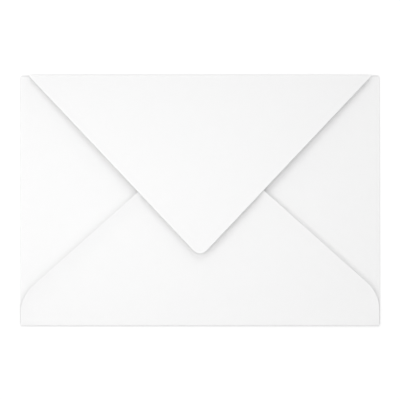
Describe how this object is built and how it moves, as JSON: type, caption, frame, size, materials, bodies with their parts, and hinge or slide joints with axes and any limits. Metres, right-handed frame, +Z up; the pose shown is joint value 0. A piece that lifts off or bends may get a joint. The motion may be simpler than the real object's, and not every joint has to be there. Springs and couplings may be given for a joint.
{
  "type": "paper envelope",
  "caption": "White paper envelope with a pointed top flap, folded from one sheet, closed but not sealed, lying flap side up.",
  "frame": {"origin": "centre of the envelope's box on the surface that it lies on, under the address panel", "axes": "+X along the long side, to the right when the flaps are seen with the top fold away from the viewer; +Y towards the top fold; +Z up, out of the flap side"},
  "size_m": [0.162, 0.114, 0.0034],
  "materials": {
    "paper": "smooth uncoated white wove paper, matt"
  },
  "bodies": {
    "root": {"envelope": "paper"}
  },
  "joints": []
}
